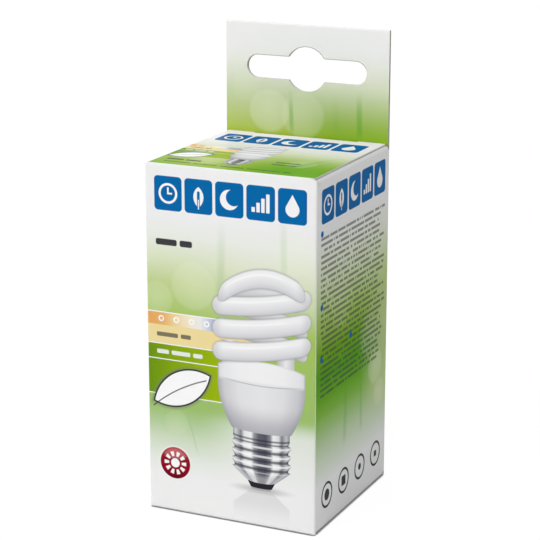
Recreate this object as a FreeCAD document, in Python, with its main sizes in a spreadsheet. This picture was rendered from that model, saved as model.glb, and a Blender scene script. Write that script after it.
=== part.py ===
# Hanging lamp carton: a tuck-top folding carton with a doubled hang tab, and the spiral lamp that stands in it.
# Millimetres. +Z is up, the front panel faces -Y, and the carton stands on Z = 0 about the Z axis.
import FreeCAD, Part
import Sketcher
import math, os, re

V = FreeCAD.Vector

SIZES = [
    # carton board
    ("panel_width", 46.0, "outside, left to right"),
    ("panel_depth", 46.0, "outside, front to back"),
    ("carton_height", 90.0, "base to the top of the closed lid"),
    ("board", 0.45, "thickness of one ply"),
    ("corner_fold", 0.8, "outside radius of the upright folds"),
    ("flap_fold", 0.6, "outside radius of the base and tuck folds"),
    ("dust_fold", 0.85, "outside radius of the dust flaps' folds"),
    ("fold_land", 0.15, "straight wall left under a flap fold"),
    ("corner_clear", 0.05, "upper ends of the upright folds to the lid"),
    ("lap_width", 11.0, "glued lap inside the back wall"),
    # hang tab
    ("tab_height", 29.0, "above the carton"),
    ("tab_inset", 0.15, "tab side edge, in from the carton side"),
    ("tab_fold", 0.4, "radius along the tab's folded top edge"),
    ("tab_reach", 6.0, "front ply glued down inside the back wall"),
    ("slot_length", 33.5, "hang slot, end to end"),
    ("slot_width", 6.0, "hang slot, across"),
    ("slot_eye", 11.6, "round eye in the middle of the hang slot"),
    ("slot_rise", 17.5, "slot centre above the carton"),
    # flaps
    ("flap_length", 16.0, "dust flap, from the outside of its wall"),
    ("flap_setback", 0.9, "dust flap end, in from the front face"),
    ("flap_back_setback", 2.4, "dust flap end, in from the back face"),
    ("flap_corner", 4.0, "cut across a dust flap's free corners"),
    ("base_tuck", 12.0, "base tuck, up the inside of the back wall"),
    ("back_lift", 0.15, "back wall's cut edge above the base"),
    # lid
    ("lid_inset", 0.8, "lid side edge, in from the carton side"),
    ("lid_rest", 0.1, "lid over the dust flaps"),
    ("lid_clear", 0.1, "lid's back edge to the tab"),
    ("crease", 0.15, "bevel across the lid's front crease"),
    ("crease_gap", 0.06, "between lid and front wall at the crease"),
    ("tuck_depth", 10.0, "tuck below the lid top"),
    ("tuck_lean", 1.1, "tuck's free edge stands in by this much"),
    ("tuck_inset", 1.6, "tuck's side edge, in from the carton side"),
    ("tuck_corner", 6.0, "radius of the tuck's free corners"),
    ("tuck_relief", 0.25, "tuck fold to the tab"),
    ("slit_length", 7.5, "slit at each end of the tuck crease"),
    # lamp
    ("contact_radius", 4.6, "contact button"),
    ("contact_height", 1.2, "contact button"),
    ("insulator_radius", 9.2, "insulator at the shell"),
    ("insulator_height", 3.2, "insulator cone"),
    ("thread_radius", 13.2, "screw cap over its thread"),
    ("shell_height", 20.0, "screw cap, insulator to housing"),
    ("shell_wall", 0.35, "screw cap sheet"),
    ("shell_taper", 3.4, "cone of the screw cap at the insulator"),
    ("housing_neck", 14.4, "housing radius at the screw cap"),
    ("housing_radius", 19.6, "housing radius at its rim"),
    ("head_room", 0.7, "lamp top below the tuck's free edge"),
    ("cover_height", 6.5, "tube cover"),
    ("cover_top", 17.0, "tube cover's flat top, radius"),
    ("tube_radius", 3.4, "spiral tube"),
    ("tube_clear", 0.15, "tube to its socket in the cover"),
    ("socket_depth", 4.0, "tube socket in the cover"),
    ("leg_radius", 12.5, "tube legs from the lamp axis"),
    ("leg_rise", 1.5, "straight leg above the cover"),
    ("leg_bend", 5.0, "bend from leg to spiral"),
    ("spiral_inset", 3.2, "spiral's centre line, in from the housing rim"),
    ("spiral_pitch", 15.2, "rise of each arm in one turn"),
    ("spiral_turns", 1.3, "turns of each arm"),
    ("crown_rise", 1.3, "crown above the ends of the arms"),
]

doc = FreeCAD.newDocument("hanging_lamp_carton")
sheet = doc.addObject("Spreadsheet::Sheet", "Sizes")
for row, (name, size, note) in enumerate(SIZES, 1):
    sheet.set(f"A{row}", note)
    sheet.set(f"B{row}", str(size))
    sheet.setAlias(f"B{row}", name)
doc.recompute()
WORDS = re.compile(r"\b(" + "|".join(name for name, _, _ in SIZES) + r")\b")


def cell(text):
    return WORDS.sub(r"Sizes.\1", str(text))


def value(text):
    return float(sheet.evalExpression(str(text)))


# Levels and offsets used by more than one piece
HALF_W, HALF_D = "panel_width / 2", "panel_depth / 2"
FLAP_TOP = "(carton_height - board - lid_rest)"
WALL_TOP = f"({FLAP_TOP} - dust_fold - fold_land)"
WALL_FOOT = "(board + flap_fold + fold_land)"
TAB_FACE = f"({HALF_D} - 2 * board)"
LID_HALF = f"({HALF_W} - lid_inset)"
TUCK_HALF = f"({HALF_W} - tuck_inset)"
TUCK_FACE = f"({TAB_FACE} - tuck_relief)"
TUCK_START = f"({TUCK_FACE} - 1.2)"
INSULATOR_FOOT = "(board + contact_height)"
SHELL_FOOT = f"({INSULATOR_FOOT} + insulator_height)"
HOUSING_FOOT = f"({SHELL_FOOT} + shell_height)"
SPIRAL_RISE = "(leg_rise + leg_bend + spiral_pitch * spiral_turns + crown_rise + tube_radius)"
COVER_FOOT = f"(carton_height - tuck_depth - head_room - {SPIRAL_RISE} - cover_height)"
COVER_TOP = f"({COVER_FOOT} + cover_height)"


def new_body(name):
    body = doc.addObject("PartDesign::Body", name)
    body.Label = name
    return body


def origin_plane(body, role):
    return next(f for f in body.Origin.OriginFeatures if f.Role == role)


def new_sketch(body, name, plane, offset=None):
    sketch = body.newObject("Sketcher::SketchObject", name)
    sketch.AttachmentSupport = [(origin_plane(body, plane), "")]
    sketch.MapMode = "FlatFace"
    if offset is not None:
        sketch.setExpression("AttachmentOffset.Base.z", cell(offset))
    return sketch


def dimension(sketch, kind, *args):
    """Adds a driving dimension; the last argument is its formula."""
    *where, text = args
    number = sketch.addConstraint(Sketcher.Constraint(kind, *where, value(text)))
    sketch.setExpression(f"Constraints[{number}]", cell(text))


def pin_point(sketch, geo, end, x, y):
    """Places one point of a sketch by two formulas."""
    for kind, axis, text in (("DistanceX", -2, x), ("DistanceY", -1, y)):
        if abs(value(text)) < 1e-9:
            sketch.addConstraint(Sketcher.Constraint("PointOnObject", geo, end, axis))
        else:
            dimension(sketch, kind, -1, 1, geo, end, text)


def outline(body, name, plane, corners, offset=None):
    """A closed outline of straight runs, each corner given as two formulas."""
    sketch = new_sketch(body, name, plane, offset)
    points = [V(value(x), value(y), 0) for x, y in corners]
    for start, end in zip(points, points[1:] + points[:1]):
        sketch.addGeometry(Part.LineSegment(start, end))
    for i in range(len(corners)):
        sketch.addConstraint(Sketcher.Constraint("Coincident", i, 2, (i + 1) % len(corners), 1))
    for i, (x, y) in enumerate(corners):
        pin_point(sketch, i, 1, x, y)
    return sketch


def circle(body, name, plane, x, y, radius, offset=None):
    sketch = new_sketch(body, name, plane, offset)
    sketch.addGeometry(Part.Circle(V(value(x), value(y), 0), V(0, 0, 1), value(radius)))
    pin_point(sketch, 0, 3, x, y)
    dimension(sketch, "Radius", 0, radius)
    return sketch


def stadium(body, name, plane, y, length, width):
    """A round-ended slot across the sketch's upright axis."""
    sketch = new_sketch(body, name, plane)
    r, half, up = value(width) / 2, (value(length) - value(width)) / 2, value(y)
    turn = math.pi / 2
    sketch.addGeometry(Part.ArcOfCircle(Part.Circle(V(-half, up, 0), V(0, 0, 1), r), turn, 3 * turn))
    sketch.addGeometry(Part.LineSegment(V(-half, up - r, 0), V(half, up - r, 0)))
    sketch.addGeometry(Part.ArcOfCircle(Part.Circle(V(half, up, 0), V(0, 0, 1), r), -turn, turn))
    sketch.addGeometry(Part.LineSegment(V(half, up + r, 0), V(-half, up + r, 0)))
    for a, b in ((0, 1), (1, 2), (2, 3), (3, 0)):
        sketch.addConstraint(Sketcher.Constraint("Tangent", a, 2, b, 1))
    pin_point(sketch, 0, 3, f"-({length} - {width}) / 2", y)
    pin_point(sketch, 2, 3, f"({length} - {width}) / 2", y)
    dimension(sketch, "Radius", 0, f"{width} / 2")
    return sketch


def corner_waste(body, name, x, z, radius):
    """What a die takes off outside a rounded lower right corner, seen from the front."""
    sketch = new_sketch(body, name, "XZ_Plane")
    right, low, r = value(x), value(z), value(radius)
    centre = V(right - r, low + r, 0)
    sketch.addGeometry(Part.ArcOfCircle(Part.Circle(centre, V(0, 0, 1), r), -math.pi / 2, 0))
    run = [V(right, low + r, 0), V(right + 1, low + r, 0), V(right + 1, low - 1, 0), V(right - r, low - 1, 0),
           V(right - r, low, 0)]
    for start, end in zip(run, run[1:]):
        sketch.addGeometry(Part.LineSegment(start, end))
    for a, b, end in ((0, 1, 2), (1, 2, 2), (2, 3, 2), (3, 4, 2), (4, 0, 2)):
        sketch.addConstraint(Sketcher.Constraint("Coincident", a, end, b, 1))
    pin_point(sketch, 0, 3, f"{x} - {radius}", f"{z} + {radius}")
    dimension(sketch, "Radius", 0, radius)
    sketch.addConstraint(Sketcher.Constraint("Vertical", 0, 3, 0, 1))
    sketch.addConstraint(Sketcher.Constraint("Horizontal", 0, 3, 0, 2))
    pin_point(sketch, 1, 2, f"{x} + 1", f"{z} + {radius}")
    pin_point(sketch, 3, 1, f"{x} + 1", f"{z} - 1")
    pin_point(sketch, 4, 1, f"{x} - {radius}", f"{z} - 1")
    return sketch


def quarter_ring(body, name, front, offset):
    """The section of an upright fold at the right front corner, or at the right back one."""
    sketch = new_sketch(body, name, "XY_Plane", offset)
    x, y = f"{HALF_W} - corner_fold", f"-{HALF_D} + corner_fold" if front else f"{HALF_D} - corner_fold"
    centre, start = V(value(x), value(y), 0), -math.pi / 2 if front else 0
    rims = [Part.ArcOfCircle(Part.Circle(centre, V(0, 0, 1), value(size)), start, start + math.pi / 2)
            for size in ("corner_fold", "corner_fold - board")]
    ends = [Part.LineSegment(rims[0].StartPoint, rims[1].StartPoint),
            Part.LineSegment(rims[0].EndPoint, rims[1].EndPoint)]
    sketch.addGeometry(rims + ends)
    for rim, line, end, side in ((0, 2, 1, 1), (1, 2, 1, 2), (0, 3, 2, 1), (1, 3, 2, 2)):
        sketch.addConstraint(Sketcher.Constraint("Coincident", rim, end, line, side))
    sketch.addConstraint(Sketcher.Constraint("Coincident", 0, 3, 1, 3))
    pin_point(sketch, 0, 3, x, y)
    dimension(sketch, "Radius", 0, "corner_fold")
    dimension(sketch, "Radius", 1, "corner_fold - board")
    sketch.addConstraint(Sketcher.Constraint("Vertical" if front else "Horizontal", 2))
    sketch.addConstraint(Sketcher.Constraint("Horizontal" if front else "Vertical", 3))
    return sketch


def extrude(body, name, sketch, length, both_ways=False, cut=False):
    feature = body.newObject("PartDesign::Pocket" if cut else "PartDesign::Pad", name)
    feature.Profile = sketch
    feature.setExpression("Length", cell(length))
    feature.SideType = "Symmetric" if both_ways else "One side"
    doc.recompute()
    return feature


def revolve(body, name, sketch):
    feature = body.newObject("PartDesign::Revolution", name)
    feature.Profile = sketch
    feature.ReferenceAxis = (sketch, ["V_Axis"])
    feature.Angle = 360
    doc.recompute()
    return feature


def mirror(body, name, feature, plane="YZ_Plane"):
    copy = body.newObject("PartDesign::Mirrored", name)
    copy.Originals = [feature]
    copy.MirrorPlane = (origin_plane(body, plane), [""])
    body.Tip = copy
    doc.recompute()
    return copy


def dress(body, kind, name, size, test):
    """Rounds or bevels every edge of the body that passes the test."""
    base = body.Tip
    edges = [f"Edge{i}" for i, edge in enumerate(base.Shape.Edges, 1) if test(edge)]
    if not edges:
        raise RuntimeError(f"{name}: no edge found")
    feature = body.newObject(f"PartDesign::{kind}", name)
    feature.Base = (base, edges)
    feature.setExpression("Radius" if kind == "Fillet" else "Size", cell(size))
    doc.recompute()
    return feature


def along(axis, **at):
    """A test for straight edges along one axis whose other coordinates are as given."""
    want = {key: [value(t) for t in (text if isinstance(text, tuple) else (text,))] for key, text in at.items()}

    def test(edge):
        ends = [v.Point for v in edge.Vertexes]
        if len(ends) != 2:
            return False
        run = ends[1] - ends[0]
        if run.Length < 1e-6 or abs(getattr(run, axis)) < 0.999 * run.Length:
            return False
        mid = (ends[0] + ends[1]) / 2
        place = {"x": mid.x, "y": mid.y, "z": mid.z, "ax": abs(mid.x)}
        return all(any(abs(place[key] - t) < 1e-4 for t in texts) for key, texts in want.items())
    return test


def carton_walls(body):
    """Four walls round a square tube with rolled upright folds."""
    corners = [(f"{sx}{HALF_W}", f"{sy}{HALF_D}") for sx, sy in (("-", "-"), ("", "-"), ("", ""), ("-", ""))]
    section = outline(body, "wall_section", "XY_Plane", corners, WALL_FOOT)
    extrude(body, "wall_block", section, f"{WALL_TOP} - {WALL_FOOT}")
    dress(body, "Fillet", "upright_folds", "corner_fold", along("z", ax=HALF_W))
    block = body.Tip
    ends = [f"Face{i}" for i, face in enumerate(block.Shape.Faces, 1) if abs(face.normalAt(0, 0).z) > 0.99]
    shell = body.newObject("PartDesign::Thickness", "walls")
    shell.Base = (block, ends)
    shell.setExpression("Value", cell("board"))
    shell.Reversed = True
    doc.recompute()
    lap = outline(body, "lap_outline", "XZ_Plane", [
        (f"-{HALF_W} + board", "base_tuck + 1"), (f"-{HALF_W} + lap_width", "base_tuck + 3"),
        (f"-{HALF_W} + lap_width", "carton_height - tab_reach - 3"),
        (f"-{HALF_W} + board", "carton_height - tab_reach - 1")], f"-({HALF_D} - board)")
    extrude(body, "glued_lap", lap, "board")


def carton_base(body):
    """Base panel creased on the front wall, tucked up inside the back wall, over two dust flaps."""
    profile = outline(body, "base_profile", "YZ_Plane", [
        (f"-{HALF_D}", WALL_FOOT), (f"-{HALF_D}", "0"), (f"{HALF_D} - board", "0"),
        (f"{HALF_D} - board", "base_tuck"), (TAB_FACE, "base_tuck"), (TAB_FACE, "board"),
        (f"-{HALF_D} + board", "board"), (f"-{HALF_D} + board", WALL_FOOT)])
    extrude(body, "base_panel", profile, "panel_width - 2 * corner_fold", both_ways=True)
    dress(body, "Fillet", "base_folds", "flap_fold", along("x", y=(f"-{HALF_D}", f"{HALF_D} - board"), z="0"))
    edge = outline(body, "back_edge_profile", "YZ_Plane", [
        (f"{HALF_D} - board", WALL_FOOT), (f"{HALF_D} - board", "back_lift"),
        (HALF_D, "back_lift"), (HALF_D, WALL_FOOT)])
    extrude(body, "back_edge", edge, "panel_width - 2 * corner_fold", both_ways=True)
    flap = outline(body, "base_flap_profile", "XZ_Plane", [
        (HALF_W, WALL_FOOT), (HALF_W, "board"), (f"{HALF_W} - flap_length", "board"),
        (f"{HALF_W} - flap_length", "2 * board"), (f"{HALF_W} - board", "2 * board"),
        (f"{HALF_W} - board", WALL_FOOT)], f"-({HALF_D} - flap_setback)")
    right = extrude(body, "base_flap", flap, "panel_depth - 2 * flap_setback")
    mirror(body, "base_flaps", right)
    dress(body, "Fillet", "base_flap_folds", "flap_fold", along("y", ax=HALF_W, z="board"))


def carton_tab(body):
    """Back wall carried up, folded forward and glued down on itself, with a die-cut hang slot."""
    profile = outline(body, "tab_profile", "YZ_Plane", [
        (TAB_FACE, WALL_TOP), (HALF_D, WALL_TOP),
        (HALF_D, "carton_height + tab_height"), (TAB_FACE, "carton_height + tab_height")])
    extrude(body, "tab", profile, "panel_width - 2 * tab_inset", both_ways=True)
    dress(body, "Fillet", "tab_top", "tab_fold",
          along("x", y=(TAB_FACE, HALF_D), z="carton_height + tab_height"))
    ply = outline(body, "tab_ply_outline", "XZ_Plane", [
        (f"-{HALF_W} + 1.5", f"{WALL_TOP}"), (f"-{HALF_W} + 1.5", "carton_height - tab_reach"),
        (f"{HALF_W} - 1.5", "carton_height - tab_reach"), (f"{HALF_W} - 1.5", f"{WALL_TOP}")],
        f"-({HALF_D} - board)")
    extrude(body, "tab_front_ply", ply, "board")
    slot = stadium(body, "slot_outline", "XZ_Plane", "carton_height + slot_rise", "slot_length", "slot_width")
    extrude(body, "hang_slot", slot, "2 * panel_depth", both_ways=True, cut=True)
    eye = circle(body, "slot_eye_outline", "XZ_Plane", "0", "carton_height + slot_rise", "slot_eye / 2")
    extrude(body, "hang_slot_eye", eye, "2 * panel_depth", both_ways=True, cut=True)


def carton_mouth(body):
    """Front wall's top edge bevelled for the lid crease, and a dust flap folded in from each side wall.

    The flap stops short of the tuck, and only its fold goes on to the tab."""
    edge = outline(body, "front_edge_profile", "YZ_Plane", [
        (f"-{HALF_D}", WALL_TOP), (f"-{HALF_D}", "carton_height - 2 * crease"),
        (f"-{HALF_D} + crease", "carton_height - crease"), (f"-{HALF_D} + board", "carton_height - board"),
        (f"-{HALF_D} + board", WALL_TOP)])
    extrude(body, "front_edge", edge, "panel_width - 2 * corner_fold", both_ways=True)
    flap = outline(body, "dust_flap_profile", "XZ_Plane", [
        (HALF_W, WALL_TOP), (HALF_W, FLAP_TOP), (f"{HALF_W} - flap_length", FLAP_TOP),
        (f"{HALF_W} - flap_length", f"{FLAP_TOP} - board"), (f"{HALF_W} - board", f"{FLAP_TOP} - board"),
        (f"{HALF_W} - board", WALL_TOP)], f"-({HALF_D} - flap_back_setback)")
    right = extrude(body, "dust_flap", flap, "panel_depth - flap_setback - flap_back_setback")
    mirror(body, "dust_flaps", right)
    inner = f"{TUCK_HALF} + lid_clear + corner_clear"
    fold = outline(body, "dust_fold_profile", "XZ_Plane", [
        (HALF_W, WALL_TOP), (HALF_W, FLAP_TOP), (inner, FLAP_TOP), (inner, f"{FLAP_TOP} - board"),
        (f"{HALF_W} - board", f"{FLAP_TOP} - board"), (f"{HALF_W} - board", WALL_TOP)],
        f"-({TAB_FACE} - corner_clear)")
    end = extrude(body, "dust_fold_end", fold, "flap_back_setback - 2 * board - corner_clear")
    mirror(body, "dust_fold_ends", end)
    dress(body, "Fillet", "dust_flap_folds", "dust_fold", along("y", ax=HALF_W, z=FLAP_TOP))
    dress(body, "Chamfer", "dust_flap_corners", "flap_corner",
          along("z", ax=f"{HALF_W} - flap_length", z=f"{FLAP_TOP} - board / 2"))


def carton_corners(body):
    """Upright folds carried past the flap folds, to just under the lid and close to the floor."""
    for name, front, foot, top in (
            ("upper_front", True, WALL_TOP, "carton_height - board - corner_clear"),
            ("lower_front", True, "flap_fold / 2", WALL_FOOT), ("lower_back", False, "flap_fold / 2", WALL_FOOT)):
        section = quarter_ring(body, f"{name}_corner", front, foot)
        right = extrude(body, f"{name}_corner_fold", section, f"{top} - {foot}")
        mirror(body, f"{name}_corner_folds", right)


def make_carton():
    body = new_body("carton")
    carton_walls(body)
    carton_base(body)
    carton_tab(body)
    carton_mouth(body)
    carton_corners(body)
    return body


def make_lid():
    """Lid panel hinged on the front crease, with a slit-lock tuck at its back."""
    body = new_body("lid")
    plate = outline(body, "lid_profile", "YZ_Plane", [
        (f"-{HALF_D} + 2 * crease + crease_gap", "carton_height"), (TUCK_START, "carton_height"),
        (TUCK_START, "carton_height - board"), (f"-{HALF_D} + board + crease_gap", "carton_height - board"),
        (f"-{HALF_D} + crease + crease_gap", "carton_height - crease")])
    extrude(body, "lid_panel", plate, f"2 * {LID_HALF}", both_ways=True)
    slope, neck = "tuck_lean / tuck_depth", "(2 * board)"
    fold = outline(body, "tuck_fold_profile", "YZ_Plane", [
        (TUCK_START, "carton_height"), (TUCK_FACE, "carton_height"),
        (f"{TUCK_FACE} - {neck} * {slope}", f"carton_height - {neck}"),
        (f"{TUCK_FACE} - board - {neck} * {slope}", f"carton_height - {neck}"),
        (f"{TUCK_FACE} - board - board * {slope}", "carton_height - board"),
        (TUCK_START, "carton_height - board")])
    extrude(body, "tuck_fold", fold, f"2 * ({LID_HALF} - slit_length)", both_ways=True)
    dress(body, "Fillet", "tuck_crease", "flap_fold", along("x", y=TUCK_FACE, z="carton_height"))
    tuck = outline(body, "tuck_profile", "YZ_Plane", [
        (f"{TUCK_FACE} - {neck} * {slope}", f"carton_height - {neck}"),
        (f"{TUCK_FACE} - tuck_lean", "carton_height - tuck_depth"),
        (f"{TUCK_FACE} - tuck_lean - board", "carton_height - tuck_depth"),
        (f"{TUCK_FACE} - board - {neck} * {slope}", f"carton_height - {neck}")])
    extrude(body, "tuck", tuck, f"2 * {TUCK_HALF}", both_ways=True)
    corner = corner_waste(body, "tuck_corner_outline", TUCK_HALF, "carton_height - tuck_depth", "tuck_corner")
    cut = extrude(body, "tuck_corner_cut", corner, "2 * panel_depth", both_ways=True, cut=True)
    mirror(body, "tuck_corners", cut)
    ear = outline(body, "lid_ear_outline", "XY_Plane", [
        (f"{LID_HALF} - slit_length", TUCK_START), (LID_HALF, TUCK_START),
        (LID_HALF, f"{TAB_FACE} - lid_clear"), (f"{LID_HALF} - slit_length", f"{TAB_FACE} - lid_clear")],
        "carton_height - board")
    right = extrude(body, "lid_ear", ear, "board")
    mirror(body, "lid_ears", right)
    return body


def turned(name, corners):
    """A turned piece from its half section."""
    body = new_body(name)
    revolve(body, f"{name}_turned", outline(body, f"{name}_section", "XZ_Plane", corners))
    return body


def make_contact():
    body = turned("lamp_contact", [
        ("0", "board"), ("contact_radius - 1.2", "board"), ("contact_radius", "board + 0.5"),
        ("contact_radius", INSULATOR_FOOT), ("0", INSULATOR_FOOT)])
    return body


def make_insulator():
    return turned("lamp_insulator", [
        ("0", INSULATOR_FOOT), ("contact_radius + 0.6", INSULATOR_FOOT), ("insulator_radius", SHELL_FOOT),
        ("0", SHELL_FOOT)])


def make_screw_cap():
    """Thin drawn shell, open at the housing and holed at the insulator."""
    return turned("lamp_screw_cap", [
        ("insulator_radius - 1", SHELL_FOOT), ("insulator_radius", SHELL_FOOT),
        ("thread_radius", f"{SHELL_FOOT} + shell_taper"), ("thread_radius", HOUSING_FOOT),
        ("thread_radius - shell_wall", HOUSING_FOOT),
        ("thread_radius - shell_wall", f"{SHELL_FOOT} + shell_taper"),
        ("insulator_radius - 1", f"{SHELL_FOOT} + shell_wall")])


def make_housing():
    """Ballast housing: a bowl that grows from the screw cap to its rim."""
    bowl = f"({COVER_FOOT} - {HOUSING_FOOT})"
    return turned("lamp_housing", [
        ("0", HOUSING_FOOT), ("housing_neck", HOUSING_FOOT),
        ("0.93 * housing_radius", f"{HOUSING_FOOT} + 0.35 * {bowl}"),
        ("housing_radius", f"{HOUSING_FOOT} + 0.65 * {bowl}"), ("housing_radius", COVER_FOOT),
        ("0", COVER_FOOT)])


def make_cover():
    """Tube cover with a socket for each end of the spiral tube."""
    body = turned("lamp_cover", [
        ("0", COVER_FOOT), ("housing_radius", COVER_FOOT), ("housing_radius", f"{COVER_TOP} - 3"),
        ("cover_top", COVER_TOP), ("0", COVER_TOP)])
    hole = circle(body, "socket_outline", "XY_Plane", "leg_radius", "0", "tube_radius + tube_clear", COVER_TOP)
    socket = extrude(body, "tube_socket", hole, "socket_depth", cut=True)
    mirror(body, "tube_sockets", socket)
    return body


def spiral_arm():
    """Centre line of one arm, from its foot in the cover to the middle of the crown."""
    foot, knee = value(f"{COVER_TOP} - socket_depth + 0.5"), value(f"{COVER_TOP} + leg_rise")
    leg, bend, reach = value("leg_radius"), value("leg_bend"), value("housing_radius - spiral_inset")
    points = [V(leg, 0, foot)]
    for tilt in map(math.radians, (0, 30, 60)):
        points.append(V(leg, bend * (1 - math.cos(tilt)), knee + bend * math.sin(tilt)))
    start, near = math.atan2(bend, leg), math.hypot(leg, bend)
    sweep = 2 * math.pi * value("spiral_turns")
    steps = round(sweep / math.radians(24))
    for i in range(1, steps + 1):
        turn = sweep * i / steps
        radius = reach - (reach - near) * math.exp(-turn)
        points.append(V(radius * math.cos(start + turn), radius * math.sin(start + turn),
                        knee + bend + value("spiral_pitch") * turn / (2 * math.pi)))
    end = FreeCAD.Rotation(V(0, 0, 1), math.degrees(start + sweep))
    for curl in map(math.radians, range(30, 181, 30)):
        hook = V(radius / 2 * (1 + math.cos(curl)), radius / 2 * math.sin(curl), 0)
        points.append(end.multVec(hook) + V(0, 0, points[3 + steps].z + value("crown_rise") * math.sin(curl / 2)))
    return points


def make_spiral():
    """Twelve-sided tube of flat facets along two arms that meet in the crown."""
    arm = spiral_arm()
    path = arm + [V(-p.x, -p.y, p.z) for p in reversed(arm[:-1])]
    rings, side = [], V(1, 0, 0)
    for before, point, after in zip(path[:1] + path, path, path[1:] + path[-1:]):
        ahead = (after - before).normalize()
        side = (side - ahead * side.dot(ahead)).normalize()
        up = ahead.cross(side)
        rings.append([point + (side * math.cos(a) + up * math.sin(a)) * value("tube_radius")
                      for a in (math.radians(d) for d in range(0, 361, 30))])
    facets = [rings[0][::-1], rings[-1]]
    for low, high in zip(rings, rings[1:]):
        for i in range(len(low) - 1):
            facets += [[low[i], low[i + 1], high[i + 1], low[i]], [low[i], high[i + 1], high[i], low[i]]]
    tube = doc.addObject("Part::Feature", "lamp_spiral")
    tube.Label = "lamp_spiral"
    tube.Shape = Part.Solid(Part.Shell([Part.Face(Part.makePolygon(facet)) for facet in facets]))
    return tube


pieces = [make_carton(), make_lid(), make_contact(), make_insulator(), make_screw_cap(), make_housing(),
          make_cover(), make_spiral()]
doc.recompute()
for item in doc.Objects:
    if "Invalid" in item.State or "Error" in item.State:
        raise RuntimeError(f"{item.Name}: {item.State}")
for piece in pieces:
    if not piece.Shape.isValid() or len(piece.Shape.Solids) != 1:
        raise RuntimeError(f"{piece.Label}: {len(piece.Shape.Solids)} solids, valid {piece.Shape.isValid()}")
os.makedirs("parts", exist_ok=True)
for piece in pieces:
    piece.Shape.exportStep(f"parts/{piece.Label}.step")
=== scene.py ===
# Hanging lamp carton: printed board, hang tab, hinged lid, and the spiral lamp that stands inside.
import math
import bmesh
import bpy
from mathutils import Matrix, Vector


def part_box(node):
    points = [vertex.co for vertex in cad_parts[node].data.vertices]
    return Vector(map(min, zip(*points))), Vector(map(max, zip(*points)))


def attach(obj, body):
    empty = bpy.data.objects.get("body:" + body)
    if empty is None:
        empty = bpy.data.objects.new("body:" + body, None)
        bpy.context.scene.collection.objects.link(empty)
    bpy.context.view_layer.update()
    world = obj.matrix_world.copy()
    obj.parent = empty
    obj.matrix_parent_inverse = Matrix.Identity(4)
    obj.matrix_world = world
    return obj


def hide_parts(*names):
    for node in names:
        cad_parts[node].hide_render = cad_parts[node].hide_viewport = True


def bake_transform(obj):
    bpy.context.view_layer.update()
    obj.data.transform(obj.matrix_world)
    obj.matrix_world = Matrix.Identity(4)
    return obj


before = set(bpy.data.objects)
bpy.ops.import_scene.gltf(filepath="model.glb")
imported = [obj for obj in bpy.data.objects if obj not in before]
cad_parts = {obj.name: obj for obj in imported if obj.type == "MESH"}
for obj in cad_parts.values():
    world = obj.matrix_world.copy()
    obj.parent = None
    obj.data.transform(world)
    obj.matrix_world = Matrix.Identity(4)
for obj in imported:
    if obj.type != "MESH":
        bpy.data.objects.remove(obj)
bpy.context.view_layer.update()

MM = 0.001
HALF_WIDTH, HALF_DEPTH, TAB_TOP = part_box("carton")[1] / MM
WIDTH = 2 * HALF_WIDTH
LID_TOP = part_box("lid")[1].z / MM
BOARD, FOLD, CRISP_FOLD = 0.45, 0.8, 0.5
PLIES, WELD = 2 * BOARD, 1e-6
TAB_FACE = HALF_DEPTH - PLIES
SLOT_LEVEL, SLOT_HALF, SLOT_WIDE, SLOT_EYE = LID_TOP + 17.5, 16.75, 6.0, 5.8


def paint(red, green, blue):
    """A screen colour from 0 to 255 as linear light."""
    def light(c):
        c /= 255
        return c / 12.92 if c <= 0.04045 else ((c + 0.055) / 1.055) ** 2.4
    return (light(red), light(green), light(blue), 1.0)


def grey(level, blue=0):
    """A grey screen colour, with a little more blue if asked."""
    return paint(level, level, level + blue)


PAPER_WHITE, INK_BLUE, INK_DARK = grey(236), paint(4, 100, 164), paint(62, 62, 66)
INK_RED, LIME, LEAF = paint(146, 8, 30), paint(157, 182, 14), paint(104, 144, 20)
CREAM, ORANGE, VIOLET = paint(234, 215, 158), paint(226, 166, 96), paint(152, 160, 200)


# Node building

class Field:
    """A node's output that takes part in Python arithmetic."""

    def __init__(self, tree, socket):
        self.tree, self.socket = tree, socket

    def math(self, operation, *items):
        return self.tree.node("ShaderNodeMath", {"operation": operation}, dict(enumerate(items)))

    def __add__(self, other):
        return self.math("ADD", self, other)

    def __sub__(self, other):
        return self.math("SUBTRACT", self, other)

    def __rsub__(self, other):
        return self.math("SUBTRACT", other, self)

    def __mul__(self, other):
        return self.math("MULTIPLY", self, other)

    def __truediv__(self, other):
        return self.math("DIVIDE", self, other)

    def __rtruediv__(self, other):
        return self.math("DIVIDE", other, self)

    def __neg__(self):
        return self.math("SUBTRACT", 0.0, self)

    def __abs__(self):
        return self.math("ABSOLUTE", self)

    __radd__, __rmul__ = __add__, __mul__

    def most(self, other):
        return self.math("MAXIMUM", self, other)

    def least(self, other):
        return self.math("MINIMUM", self, other)

    def floor(self):
        return self.math("FLOOR", self)

    def part(self):
        return self.math("FRACT", self)

    def root(self):
        return self.math("SQRT", self)

    def cosine(self):
        return self.math("COSINE", self)

    def sine(self):
        return self.math("SINE", self)

    def sign(self):
        return self.math("SIGN", self)

    def above(self, level):
        return self.math("GREATER_THAN", self, level)

    def fade(self, start, end, low=0.0, high=1.0):
        """Goes smoothly from low at start to high at end."""
        return self.tree.node("ShaderNodeMapRange", {"interpolation_type": "SMOOTHSTEP"},
                              {0: self, 1: start, 2: end, 3: low, 4: high})

    def ramp(self, *stops):
        """A colour for each (value, colour) stop, blended in between."""
        low, high = stops[0][0], stops[-1][0]
        share = self.tree.node("ShaderNodeMapRange", {}, {0: self, 1: low, 2: high})
        places = [((at - low) / (high - low), colour) for at, colour in stops]
        return self.tree.node("ShaderNodeValToRGB", {"stops": places}, {0: share})


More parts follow.
